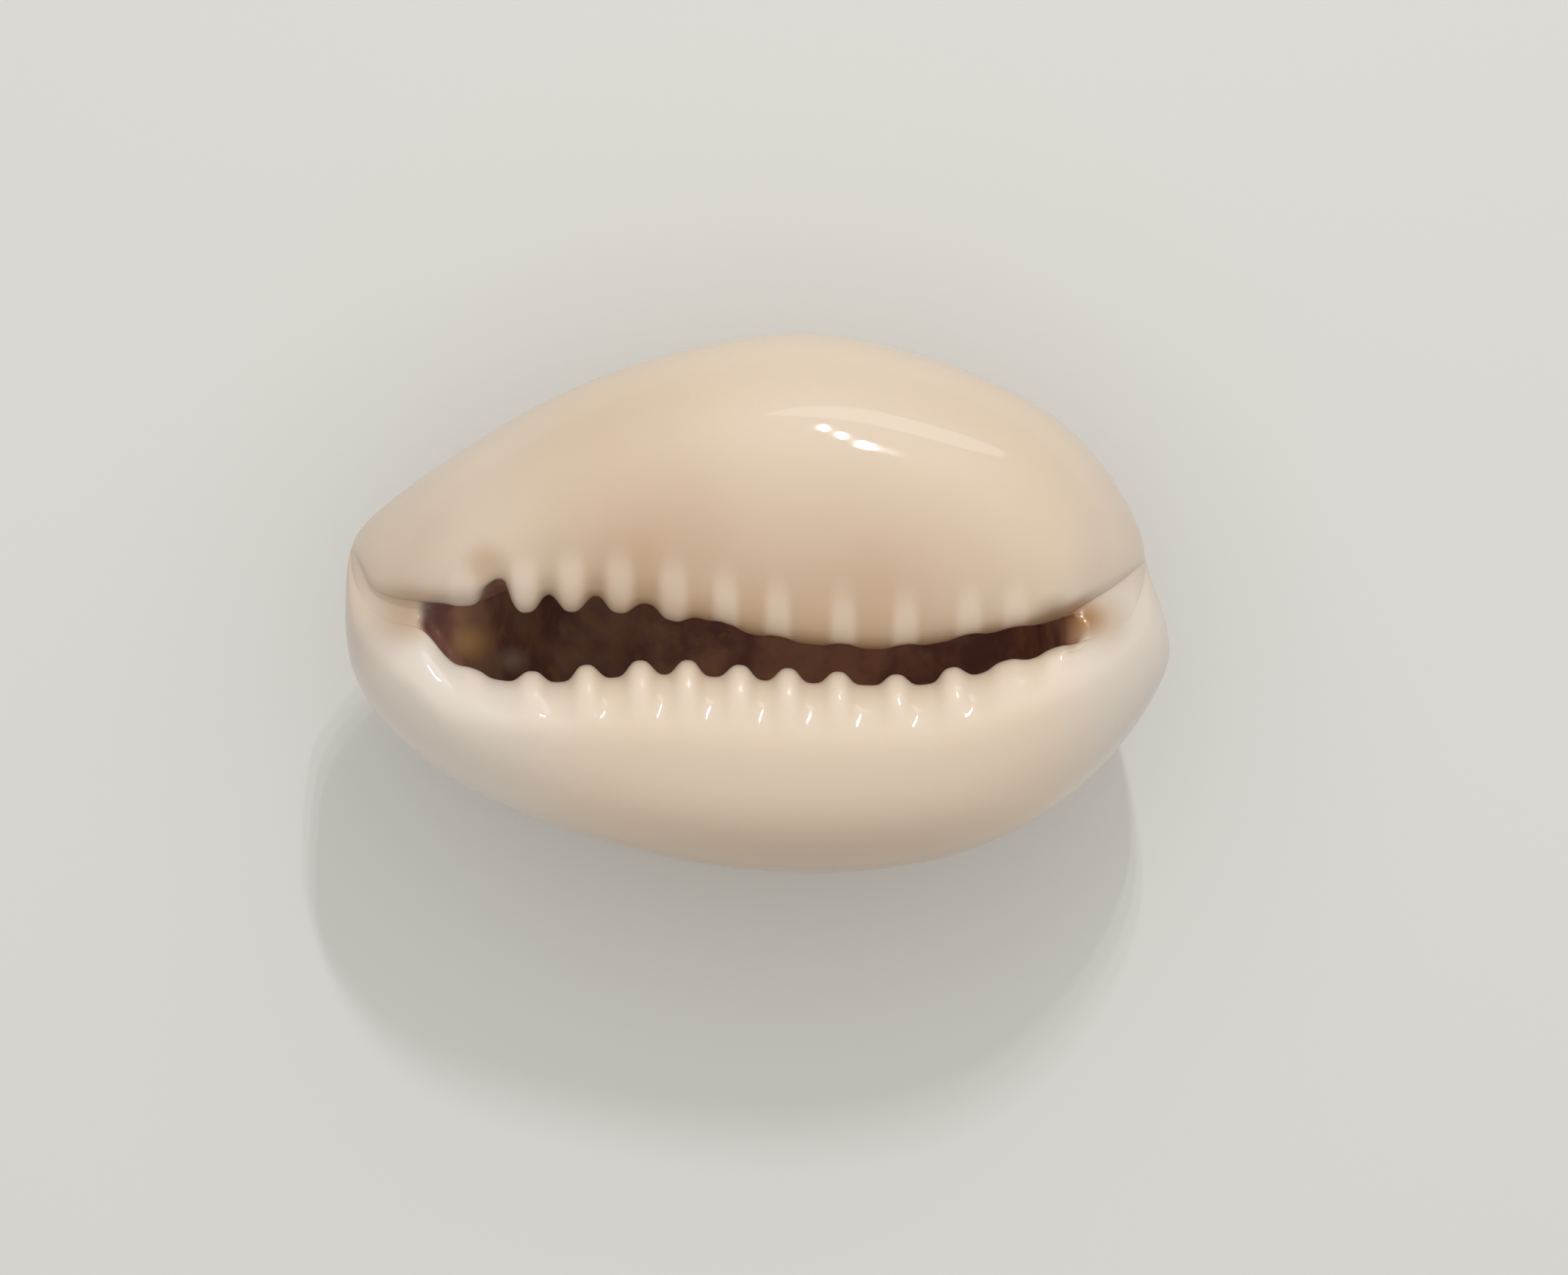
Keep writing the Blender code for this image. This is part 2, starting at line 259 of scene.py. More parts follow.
def guide_lines(shares):
    """The lines that shape the shell in plan, at shares of their lengths, and the height of its base."""
    ring, marks = smooth_line([FRONT_NOTCH, *INNER_MARGIN, REAR_NOTCH, *OUTER_MARGIN[::-1]], closed=True)
    rear = marks[len(INNER_MARGIN) + 1]
    lines = {
        "inner margin": read_along(ring[: rear + 1], shares),
        "outer margin": read_along(ring[rear:][::-1], shares),
    }
    lines["spine"] = (lines["inner margin"] + lines["outer margin"]) / 2
    heights = []
    for name, edge in (("inner lip", INNER_LIP), ("outer lip", OUTER_LIP)):
        plan, _ = smooth_line([FRONT_NOTCH, *edge, REAR_NOTCH])
        lip = read_along(np.column_stack([plan, base_height(plan[:, 0])]), shares)
        lines[name] = lip[:, :2]
        heights.append(lip[:, 2])
    return lines, sum(heights) / len(heights)


def smooth_step(value):
    """A change from 0 to 1 with no kink at either end."""
    value = np.clip(value, 0, 1)
    return value * value * (3 - 2 * value)


# %% Points of every row
def distance_from_lip(row, plan, lines):
    """How far a row lies from its lip. The back counts as the inner margin, and the inside as the lip."""
    if row.inside:
        return np.zeros(len(plan))
    if row.start == "spine":
        return np.linalg.norm(lines["inner margin"] - lines["inner lip"], axis=1)
    return np.linalg.norm(plan - lines[row.start], axis=1)


def guide_points(shares):
    """Every row's points, with its tooth and stripe strengths, inside share and distance from the lip."""
    lines, base = guide_lines(shares)
    rise = base - MARGIN_HEIGHT
    fall = (MARGIN_HEIGHT + SPOT_SINK) * np.sin(np.pi * shares)
    x = (lines["inner lip"][:, 0] + lines["outer lip"][:, 0]) / 2
    hollow = smooth_step((x - SLOT_FRONT) / FRONT_RAMP) * smooth_step((SLOT_REAR - x) / REAR_RAMP)
    guides = []
    for row in section_rows():
        start = lines[row.start]
        plan = start + row.across * (lines[row.end] - start)
        height = (rise if row.level > 0 else fall) * row.level
        from_lip = distance_from_lip(row, plan, lines)
        if row.canal:
            share, level = row.canal
            way = float(row.start == "outer lip") if share is None else share
            depth = np.where(x > 0, np.interp(way, (0, 1), REAR_DEPTHS), 1.0)
            height = height * hollow + rise * (1 - (1 - level) * depth) * (1 - hollow)
            if share is not None:
                canal = lines["inner lip"] + share * (lines["outer lip"] - lines["inner lip"])
                plan = plan * hollow[:, None] + canal * (1 - hollow[:, None])
        outer = float(row.start == "outer lip")
        inner = float(row.start == "inner lip")
        teeth = [outer * row.tooth, inner * row.tooth]
        stripes = [outer * row.stripe, inner * row.stripe]
        strengths = np.tile([*teeth, *stripes, row.inside], (len(shares), 1))
        guides.append(np.column_stack([plan, MARGIN_HEIGHT + height, strengths, from_lip]))
    return np.stack(guides)


print("base above the widest line, mm:", round(float(base_height(0.0)) - MARGIN_HEIGHT, 2))

# %% [markdown]
# ## The smooth shell
#
# Now the rows are lofted: one closed spline goes through all of them at every station. The grid is fine
# enough for the teeth that come next. What each point needs for those teeth and for the colours is kept on
# the mesh as attributes, which stay with the surface whatever is done to it later.

# %% Loft the shell without its teeth
STATIONS = 300
AROUND = 220


def lofted(stations, around):
    """The shell as a grid of rows of values, station by station, without its two end points."""
    guides = guide_points(np.linspace(0, 1, stations + 2)[1:-1])
    middle = guides[:, stations // 2, :3]
    gaps = np.linalg.norm(np.roll(middle, -1, axis=0) - middle, axis=1)
    knots = np.concatenate([[0.0], np.cumsum(gaps)])
    detail = np.concatenate([[0.0], np.cumsum(np.sqrt(gaps))])
    places = np.interp(np.arange(around) / around * detail[-1], detail, knots)
    return np.einsum("vr,ruc->uvc", spline_matrix(knots, places, closed=True), guides)


def grid_faces():
    """Four-sided faces between the stations, and a fan of triangles to the end point of each notch."""
    index = np.arange(STATIONS * AROUND).reshape(STATIONS, AROUND)
    following = np.roll(index, -1, axis=1)
    faces = np.stack([index[:-1], following[:-1], following[1:], index[1:]], axis=-1).reshape(-1, 4)
    front = STATIONS * AROUND
    rear = front + 1
    front_fan = [(front, int(b), int(a)) for a, b in zip(index[0], following[0])]
    rear_fan = [(rear, int(a), int(b)) for a, b in zip(index[-1], following[-1])]
    return faces.tolist() + front_fan + rear_fan


def shell_mesh(name):
    """The smooth shell as a mesh, with what the teeth and the colours need as attributes."""
    grid = lofted(STATIONS, AROUND)
    ends = np.zeros((2, grid.shape[2]))
    ends[:, :3] = [(*FRONT_NOTCH, MARGIN_HEIGHT), (*REAR_NOTCH, MARGIN_HEIGHT)]
    values = np.vstack([grid.reshape(-1, grid.shape[2]), ends])
    mesh = bpy.data.meshes.new(name)
    mesh.from_pydata((values[:, :3] * MM).tolist(), [], grid_faces())
    outer, inner, outer_stripe, inner_stripe, inside, from_lip = np.clip(values[:, 3:], 0, None).T

    # A low ridge is highest where a tooth has half its height, so the edge of the lip stays straight there
    ridge = 4 * inner * (1 - inner)
    lips = np.column_stack([outer, inner, ridge])
    stripes = np.column_stack([outer_stripe, inner_stripe, inner_stripe])
    mesh.attributes.new("lips", "FLOAT_VECTOR", "POINT").data.foreach_set("vector", lips.ravel())
    mesh.attributes.new("stripes", "FLOAT_VECTOR", "POINT").data.foreach_set("vector", stripes.ravel())
    mesh.attributes.new("inside", "FLOAT", "POINT").data.foreach_set("value", np.clip(inside, 0, 1))
    mesh.attributes.new("from_lip", "FLOAT", "POINT").data.foreach_set("value", from_lip)
    mesh.shade_smooth()
    return mesh


shell = bpy.data.objects.new("cowrie", shell_mesh("cowrie"))
bpy.context.scene.collection.objects.link(shell)
print("smooth shell:", len(shell.data.polygons), "faces")

# %% [markdown]
# ## One helper for every node
#
# Geometry trees and materials are both built from nodes. One small function adds a node, sets its options
# and fills its inputs. An input takes a number, a colour, one output of another node, or the node itself,
# which stands for the first output that it has in use.

# %% Node helper
def add(tree, kind, inputs=None, **settings):
    """Adds a node. Inputs are given by name or number, as a value, an output or a node to link."""
    made = tree.nodes.new(kind)
    for name, value in settings.items():
        setattr(made, name, value)
    for key, value in (inputs or {}).items():
        if isinstance(value, bpy.types.Node):
            value = next(output for output in value.outputs if output.enabled)
        if isinstance(value, bpy.types.NodeSocket):
            tree.links.new(value, made.inputs[key])
        else:
            made.inputs[key].default_value = value
    return made


# %% [markdown]
# ## Teeth
#
# Each lip carries a row of teeth: low rounded ridges that run over the edge of the lip and fade out on the
# base. Painted as a bump texture they would vanish from the edge of the slot, where they show most, so they
# are real shape. They all follow one rule, a smooth bump of some height and width at some place along the
# lip, so Geometry Nodes makes them. The teeth are listed as the points of a tiny guide mesh. The tree steps
# through the list and adds every tooth's bump, then pushes the surface out along its normal.

# %% The list of teeth
# Place along the shell, height and width, in millimetres. A negative height is a notch
OUTER_TEETH = [(-8.5, 0.14, 0.40), (-6.75, 0.34, 0.42), (-5.1, 0.46, 0.42), (-3.5, 0.46, 0.42),
               (-2.1, 0.46, 0.40), (-0.55, 0.42, 0.42), (0.9, 0.42, 0.40), (2.4, 0.38, 0.40),
               (4.15, 0.34, 0.40), (5.85, 0.38, 0.42), (7.45, 0.18, 0.48), (8.9, 0.10, 0.42)]
INNER_TEETH = [(-8.8, 0.08, 0.45), (-7.83, -0.50, 0.38), (-7.68, -0.42, 0.24), (-6.95, 0.42, 0.47),
               (-5.55, 0.46, 0.47), (-4.1, 0.36, 0.47), (-2.5, 0.26, 0.47)]
INNER_RIDGES = [(-0.95, 0.10, 0.42), (0.6, 0.10, 0.42), (2.55, 0.10, 0.42), (4.4, 0.10, 0.42),
                (6.3, 0.09, 0.42), (7.7, 0.06, 0.42)]


def tooth_list():
    """A guide mesh with a point for each tooth: x is its place, and attributes hold the rest."""
    teeth = []
    for kind, row in enumerate((OUTER_TEETH, INNER_TEETH, INNER_RIDGES)):
        teeth += [(place, height, width, kind) for place, height, width in row]
    places, heights, widths, kinds = zip(*teeth)
    mesh = bpy.data.meshes.new("tooth list")
    mesh.from_pydata([(place * MM, 0, 0) for place in places], [], [])
    for name, sizes in (("height", heights), ("width", widths)):
        data = mesh.attributes.new(name, "FLOAT", "POINT").data
        data.foreach_set("value", [size * MM for size in sizes])
    rows = np.eye(3)[list(kinds)]
    mesh.attributes.new("kind", "FLOAT_VECTOR", "POINT").data.foreach_set("vector", rows.ravel())
    guide = bpy.data.objects.new("tooth list", mesh)
    bpy.context.scene.collection.objects.link(guide)
    return guide


teeth_guide = tooth_list()
print("teeth, notches and ridges:", len(teeth_guide.data.vertices))


# %% The inputs of the tree
def tree_inputs(tree):
    """The tree asks for the smooth shell, the list of teeth, two sizes and the finish."""
    sockets = tree.interface
    sockets.new_socket("Geometry", in_out="INPUT", socket_type="NodeSocketGeometry")
    sockets.new_socket("Tooth List", in_out="INPUT", socket_type="NodeSocketObject")
    for name in ("Tooth Height", "Tooth Width"):
        sockets.new_socket(name, in_out="INPUT", socket_type="NodeSocketFloat").default_value = 1.0
    sockets.new_socket("Enamel", in_out="INPUT", socket_type="NodeSocketMaterial")
    sockets.new_socket("Geometry", in_out="OUTPUT", socket_type="NodeSocketGeometry")
    return add(tree, "NodeGroupInput").outputs


# %% What one tooth adds
TOOTH_POWER = 3


def one_tooth(tree, given, teeth, number):
    """The lift and the pale stripe that one tooth of the list gives to each point of the surface."""

    def listed(kind, name):
        """What the list says of this tooth."""
        field = add(tree, "GeometryNodeInputNamedAttribute", {"Name": name}, data_type=kind)
        found = {"Geometry": teeth, "Value": field, "Index": number}
        return add(tree, "GeometryNodeSampleIndex", found, data_type=kind)

    where = add(tree, "GeometryNodeInputPosition")
    place = listed("FLOAT_VECTOR", "position")
    gap = add(tree, "ShaderNodeVectorMath", {0: where, 1: place}, operation="SUBTRACT")
    bump = add(tree, "ShaderNodeSeparateXYZ", {0: gap}).outputs["X"]
    usual_width = listed("FLOAT", "width")
    width = add(tree, "ShaderNodeMath", {0: usual_width, 1: given["Tooth Width"]}, operation="MULTIPLY")

    # A bump with a round top and steep sides: exp(-|gap / width| ** TOOTH_POWER), one step at a time
    steps = [("DIVIDE", width), ("ABSOLUTE", 0.0), ("POWER", TOOTH_POWER), ("MULTIPLY", -1.0)]
    for operation, second in [*steps, ("EXPONENT", 0.0)]:
        bump = add(tree, "ShaderNodeMath", {0: bump, 1: second}, operation=operation)

    usual_height = listed("FLOAT", "height")
    height = add(tree, "ShaderNodeMath", {0: usual_height, 1: given["Tooth Height"]}, operation="MULTIPLY")
    rise_or_fall = add(tree, "ShaderNodeMath", {0: height}, operation="SIGN")
    kind = listed("FLOAT_VECTOR", "kind")
    shares = []
    for size, name in ((height, "lips"), (rise_or_fall, "stripes")):
        field = add(tree, "GeometryNodeInputNamedAttribute", {"Name": name}, data_type="FLOAT_VECTOR")
        here = add(tree, "ShaderNodeVectorMath", {0: field, 1: kind}, operation="DOT_PRODUCT")
        full = add(tree, "ShaderNodeMath", {0: bump, 1: size}, operation="MULTIPLY")
        shares.append(add(tree, "ShaderNodeMath", {0: full, 1: here}, operation="MULTIPLY"))
    return shares


# %% The tree that raises the teeth
# No point of the shell lies below the floor, which is at height 0
LOWEST_PLACE = (-1.0, -1.0, 0.0)


def tooth_tree():
    """Adds up all teeth in a repeat zone, pushes the surface out by the sum, and gives it its finish."""
    tree = bpy.data.node_groups.new("Cowrie Teeth", "GeometryNodeTree")
    given = tree_inputs(tree)
    teeth = add(tree, "GeometryNodeObjectInfo", {"Object": given["Tooth List"]}).outputs["Geometry"]
    count = add(tree, "GeometryNodeAttributeDomainSize", {"Geometry": teeth}, component="MESH")
    opened = add(tree, "GeometryNodeRepeatInput")
    closed = add(tree, "GeometryNodeRepeatOutput")
    opened.pair_with_output(closed)
    closed.repeat_items.clear()
    sums = ("Lift", "Stripe")
    for name in sums:
        closed.repeat_items.new("FLOAT", name)
    tree.links.new(count.outputs["Point Count"], opened.inputs["Iterations"])
    for name, share in zip(sums, one_tooth(tree, given, teeth, opened.outputs["Iteration"])):
        total = add(tree, "ShaderNodeMath", {0: opened.outputs[name], 1: share}, operation="ADD")
        tree.links.new(total.outputs[0], closed.inputs[name])

    kept = {"Geometry": given["Geometry"], "Name": "stripe", "Value": closed.outputs["Stripe"]}
    marked = add(tree, "GeometryNodeStoreNamedAttribute", kept, data_type="FLOAT", domain="POINT")
    normal = add(tree, "GeometryNodeInputNormal").outputs["Normal"]
    lift = closed.outputs["Lift"]
    push = add(tree, "ShaderNodeVectorMath", {0: normal, "Scale": lift}, operation="SCALE")
    toothed = add(tree, "GeometryNodeSetPosition", {"Geometry": marked, "Offset": push})

    # The back is flat where it touches the surface that it lies on
    where = add(tree, "GeometryNodeInputPosition")
    above = add(tree, "ShaderNodeVectorMath", {0: where, 1: LOWEST_PLACE}, operation="MAXIMUM")
    rested = add(tree, "GeometryNodeSetPosition", {"Geometry": toothed, "Position": above})
    real = add(tree, "GeometryNodeRealizeInstances", {"Geometry": rested})
    dressed = add(tree, "GeometryNodeSetMaterial", {"Geometry": real, "Material": given["Enamel"]})
    add(tree, "NodeGroupOutput", {"Geometry": dressed})
    return tree


# %% [markdown]
# ## The enamel
#
# A cowrie's outside is aragonite laid down in thin layers by the living mantle, and it comes out of the sea
# already polished. It is as hard and smooth as glazed porcelain, but a little of the light goes in and
# comes out again, which softens its shadows. So the shader has a clear coat over a slightly rougher body,
# with some subsurface scattering. The colours are warm cream on the base, fawn near the middle, nearly
# white at the ends and on the teeth, and dark brown inside. Some shade is painted into the colours too: on
# the outer margin, at the front tip, in the canals and at the inside's front end. A picture of the shell
# could be wrapped round it, but it would carry its own light and glints along. Painting by rule leaves the
# glints and the rest of the shading to the lamps.

# %% Colours
def colour(code):
    """An sRGB hex code as the linear colour that a shader works in."""
    parts = [int(code[i : i + 2], 16) / 255 for i in (1, 3, 5)]
    return (*[p / 12.92 if p <= 0.04045 else ((p + 0.055) / 1.055) ** 2.4 for p in parts], 1.0)


CREAM = colour("#e6d4bf")
FAWN = colour("#c3a585")
WHITE_END = colour("#e2d9cf")
TOOTH_WHITE = colour("#ead9c9")
# Painted shade for the outer margin and the front tip
PAINTED_MARGIN_SHADE = colour("#a5856c")
OLIVE_BROWN = colour("#8a6c48")
CANAL_ORANGE = colour("#a0691a")
# Tan of the canals and above the notch, partly stain and partly painted shade
CANAL_TAN_AND_SHADE = colour("#b8956c")
INSIDE_BROWN = colour("#f8c5a2")
INSIDE_DARK = colour("#b78278")
# Painted shade for the inside's front
INSIDE_PAINTED_SHADE = colour("#4a2f2a")
INSIDE_OCHRE = colour("#ffcf8e")
INSIDE_PALE = colour("#f7ead6")
BACK_GREY = colour("#c9ccc6")
RING_GOLD = colour("#d79a3e")


# %% [markdown]
# ## What the paint follows
#
# The mantle lays colour down by place: along the lips, at the two ends and over the back. So the paint
# follows fields. Some say where a point lies, and some are marks that the loft and the teeth left on the
# mesh. Noise makes the colours uneven, and each noise has a real size. All lengths are in millimetres.

# %% Patterns and fields
# Size and fineness of each noise: clouds in the fawn, the waver of the ring round the back, the mottle and
# the specks inside, and faint ripples in the polish
PATTERNS = {
    "clouds": (6.0, 3.0),
    "waver": (3.0, 3.0),
    "mottle": (2.0, 5.0),
    "specks": (0.6, 2.0),
    "ripples": (5.0, 0.0),
}


def paint_fields(tree):
    """Everything that the paint follows, by name."""
    where = add(tree, "ShaderNodeTexCoord").outputs["Object"]
    place = add(tree, "ShaderNodeVectorMath", {0: where, 1: (1 / MM,) * 3}, operation="MULTIPLY")
    plan = add(tree, "ShaderNodeVectorMath", {0: place, 1: (1.0, 1.0, 0.0)}, operation="MULTIPLY")
    parts = add(tree, "ShaderNodeSeparateXYZ", {0: place}).outputs
    fields = {"plan": plan, "x": parts["X"], "y": parts["Y"], "z": parts["Z"]}
    for name in ("from_lip", "stripe", "inside"):
        fields[name] = add(tree, "ShaderNodeAttribute", attribute_name=name).outputs["Fac"]
    for name, (size, fineness) in PATTERNS.items():
        pattern = {"Vector": place, "Scale": 1 / size, "Detail": fineness}
        fields[name] = add(tree, "ShaderNodeTexNoise", pattern)
    return fields


# %% [markdown]
# ## Layers and stains
#
# The colours go on in layers, as a painter glazes. A layer is a colour and its fades, and each fade goes
# smoothly from one strength to another while a field goes from one value to another. A stain is a layer
# that fades with the distance from its place, seen from the slot's side.

# %% How a layer and a stain are laid on
def painted(tree, fields, under, over, fades):
    """Lays one colour over another. A fade is a field's name, its two values, and the strength at each."""
    share = 1.0
    for name, start, end, at_start, at_end in fades:
        limits = {"Value": fields[name], "From Min": start, "From Max": end,
                  "To Min": at_start, "To Max": at_end}
        fade = add(tree, "ShaderNodeMapRange", limits, interpolation_type="SMOOTHSTEP")
        share = add(tree, "ShaderNodeMath", {0: share, 1: fade}, operation="MULTIPLY")
    return add(tree, "ShaderNodeMix", {0: share, 6: under, 7: over}, data_type="RGBA")


def stained(tree, fields, tint, stains, *fades):
    """Lays stains over a colour. Each has a place, a reach, the strength at its middle, and a colour."""
    for x, y, reach, strongest, stain in stains:
        gap = add(tree, "ShaderNodeVectorMath", {0: fields["plan"], 1: (x, y, 0.0)}, operation="DISTANCE")
        weaker = ("gap", 0.0, reach, strongest, 0.0)
        tint = painted(tree, {**fields, "gap": gap}, tint, stain, [weaker, *fades])
    return tint


# %% [markdown]
# ## The outside
#
# The base is cream, fawn near the slot and in the middle, and nearly white at both ends. The outer margin
# and the very front tip are darkened with painted shade, as they face away from the light. The canal beds
# and a spot above the front notch get a tan that is partly stain and partly painted shade. The inner lip
# darkens to olive brown where it dips into the slot, but the teeth and ridges stay pale, as stripes that
# run out on the base.

# %% Layers and stains of the outside
UPPER_SIDE = ("z", 7.5, 8.5, 0.0, 1.0)

BASE_LAYERS = [
    # Fawn near the slot, mostly on the inner lip's side, and less of it towards both ends
    (FAWN, ("from_lip", 0.0, 9.0, 1.0, 0.0), ("clouds", 0.2, 0.8, 0.75, 1.05),
     ("y", -2.0, -1.4, 0.1, 1.0), ("x", -9.0, -3.0, 0.65, 1.0), ("x", 10.5, 2.5, 0.35, 1.0)),
    # The white front and rear
    (WHITE_END, ("x", -4.0, -9.5, 0.0, 1.0), ("y", 0.8, -1.5, 0.35, 0.95)),
    (WHITE_END, ("x", 8.0, 11.0, 0.0, 1.0), ("y", 1.2, -0.3, 0.35, 0.9)),
    # Painted shade on the outer margin, which faces away from the light
    (PAINTED_MARGIN_SHADE, ("y", -5.5, -8.2, 0.0, 0.4)),
]

# Painted shade at the tip of the front; tan, partly stain and partly painted shade, above the notch and in
# the beds of both canals; and olive brown where the slot's rear end narrows
BASE_STAINS = [
    (-11.8, -1.1, 1.6, 0.24, PAINTED_MARGIN_SHADE),
    (-8.1, 1.15, 0.95, 0.55, CANAL_TAN_AND_SHADE),
    (-10.5, -0.35, 1.4, 0.65, CANAL_TAN_AND_SHADE),
    (10.35, -0.5, 1.2, 0.55, CANAL_TAN_AND_SHADE),
    (8.9, -0.45, 0.9, 0.6, OLIVE_BROWN),
]

LIP_LAYERS = [
    # Olive brown along the inner lip, from the last tall tooth to the rear canal
    (OLIVE_BROWN, ("from_lip", 0.0, 0.4, 0.6, 0.0), ("y", -1.75, -1.4, 0.0, 1.0),
     ("x", -3.5, 0.5, 0.0, 1.0), ("x", 10.2, 9.0, 0.0, 1.0)),
    # Pale stripes
    (TOOTH_WHITE, ("stripe", 0.1, 0.9, 0.0, 0.42)),
]

# %% [markdown]
# ## The back
#
# The back lies on the floor, so the photograph doesn't show it. On this kind of shell it is a pale grey cap
# inside a thin golden ring. The ring is an ellipse in plan, and a slow noise makes it waver.

# %% Ring and cap
LOWER_SIDE = ("z", 7.5, 6.0, 0.0, 1.0)
RING_HALF_LENGTH = 7.4
RING_HALF_WIDTH = 4.7
RING_WAVER = 0.05

# Fades of the cap and the ring count in half sizes of the ring, so it lies at 1
BACK_LAYERS = [
    (BACK_GREY, LOWER_SIDE, ("ring", 1.0, 0.94, 0.0, 1.0)),
    (RING_GOLD, LOWER_SIDE, ("from_ring", 0.0, 0.06, 0.85, 0.0)),
]


def ring_fields(tree, fields):
    """The fields with two more: where a point lies against the ring, and how far from it."""
    shrink = (1 / RING_HALF_LENGTH, 1 / RING_HALF_WIDTH, 0.0)
    flat = add(tree, "ShaderNodeVectorMath", {0: fields["plan"], 1: shrink}, operation="MULTIPLY")
    even = add(tree, "ShaderNodeVectorMath", {0: flat}, operation="LENGTH")
    limits = {"Value": fields["waver"], "To Min": -RING_WAVER, "To Max": RING_WAVER}
    waver = add(tree, "ShaderNodeMapRange", limits, interpolation_type="SMOOTHSTEP")
    ring = add(tree, "ShaderNodeMath", {0: even, 1: waver}, operation="ADD")
    beyond = add(tree, "ShaderNodeMath", {0: ring, 1: 1.0}, operation="SUBTRACT")
    from_ring = add(tree, "ShaderNodeMath", {0: beyond}, operation="ABSOLUTE")
    return {**fields, "ring": ring, "from_ring": from_ring}


# %% [markdown]
# ## The inside
#
# Past its lips the shell isn't polished and keeps its own colours. Here it is a mottled brown with ochre
# specks, with an ochre lump and a pale one of dried matter near its front end. Towards the front, and most
# at the front end, it is darkened with painted shade.
# Little light gets in, so these colours are lighter than they look in the slot. An orange stain runs from
# the slot's rear end into the canal, over the edge of the inside, so it is laid on last.

# %% Layers and spots of the inside
INSIDE_LAYERS = [
    (INSIDE_BROWN, ("mottle", 0.35, 0.65, 0.0, 1.0)),
    (INSIDE_OCHRE, ("specks", 0.55, 0.75, 0.0, 1.0), ("x", 4.0, -9.0, 0.15, 0.6)),
    # Painted shade, stronger towards the front
    (INSIDE_PAINTED_SHADE, ("x", 0.0, -5.0, 0.0, 0.4)),
]

# Painted shade at the front end, the ochre lump and the pale lump
INSIDE_SPOTS = [
    (-10.0, -0.4, 1.0, 0.9, INSIDE_PAINTED_SHADE),
    (-8.65, -1.2, 0.75, 1.0, INSIDE_OCHRE),
    (-7.6, -1.75, 0.6, 0.8, INSIDE_PALE),
]

# Where the inside shows: past the lips, and between the two canals
INSIDE_FADES = [("inside", 0.2, 0.65, 0.0, 1.0), ("x", -10.3, -9.9, 0.0, 1.0), ("x", 9.75, 9.35, 0.0, 1.0)]
REAR_STAIN = [(9.8, -0.5, 0.85, 0.85, CANAL_ORANGE)]


# %% Enamel material
def shell_tint(tree):
    """All colours of the shell, laid on in order."""
    fields = ring_fields(tree, paint_fields(tree))
    tint = CREAM
    for over, *fades in BASE_LAYERS:
        tint = painted(tree, fields, tint, over, fades)
    tint = stained(tree, fields, tint, BASE_STAINS, UPPER_SIDE)
    for over, *fades in LIP_LAYERS + BACK_LAYERS:
        tint = painted(tree, fields, tint, over, fades)
    inside = INSIDE_DARK
    for over, *fades in INSIDE_LAYERS:
        inside = painted(tree, fields, inside, over, fades)
    inside = stained(tree, fields, inside, INSIDE_SPOTS)
    tint = painted(tree, fields, tint, inside, INSIDE_FADES)
    return stained(tree, fields, tint, REAR_STAIN, UPPER_SIDE), fields["ripples"]


def enamel(name):
    """The finish of the whole shell: its colours under a clear, polished coat with faint ripples."""
    material = bpy.data.materials.new(name)
    material.use_nodes = True
    tree = material.node_tree
    tree.nodes.clear()
    tint, ripples = shell_tint(tree)
    bump = add(tree, "ShaderNodeBump", {"Height": ripples, "Strength": 0.04, "Distance": 0.05 * MM})
    shader = add(tree, "ShaderNodeBsdfPrincipled", {
        "Base Color": tint,
        "Roughness": 0.45,
        "IOR": 1.6,
        "Specular IOR Level": 0.3,
        "Normal": bump,
        "Subsurface Weight": 0.25,
        "Subsurface Radius": (1.0, 0.6, 0.35),
        "Subsurface Scale": 0.8 * MM,
        "Coat Weight": 0.5,
        "Coat Roughness": 0.028,
        "Coat IOR": 1.6,
    })
    add(tree, "ShaderNodeOutputMaterial", {"Surface": shader})
    return material


cowrie_enamel = enamel("cowrie enamel")
print("enamel nodes:", len(cowrie_enamel.node_tree.nodes))

# %% [markdown]
# ## Growing the teeth
#
# The smooth shell, the list of teeth and the enamel now come together. The tree runs once, and its result
# is kept as a plain mesh, so the shell needs no modifier from here on. It stands for the solid shell, which
# stays hidden in the same place.

# %% Grow the teeth and keep the result as a plain mesh
def grow_teeth(piece, guide, material):
    """Runs the tree on the piece, keeps what it makes as the piece's own mesh, and drops the guide."""
    tree = tooth_tree()
    modifier = piece.modifiers.new("teeth", "NODES")
    modifier.node_group = tree
    names = {item.name: item.identifier for item in tree.interface.items_tree if item.in_out == "INPUT"}
    modifier[names["Tooth List"]] = guide
    modifier[names["Tooth Height"]] = 1.0
    modifier[names["Tooth Width"]] = 1.0
    modifier[names["Enamel"]] = material
    evaluated = piece.evaluated_get(bpy.context.evaluated_depsgraph_get())
    grown = bpy.data.meshes.new_from_object(evaluated)
    piece.modifiers.remove(modifier)
    piece.data = grown
    bpy.data.objects.remove(guide)


grow_teeth(shell, teeth_guide, cowrie_enamel)
shell.data.name = "cowrie"
print("shell with teeth:", len(shell.data.vertices), "points")
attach(shell, "root")
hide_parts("shell")

# %% [markdown]
# ## Floor and camera
#
# The photograph looks straight down on the shell, with its rear end to the right. A long lens keeps the
# near base and the far margins at nearly the same scale. The floor is plain matt paper that shows nothing
# but the shell's soft shadow.

# %% Floor
FLOOR_REACH = 400
FLOOR_GREY = colour("#dededc")


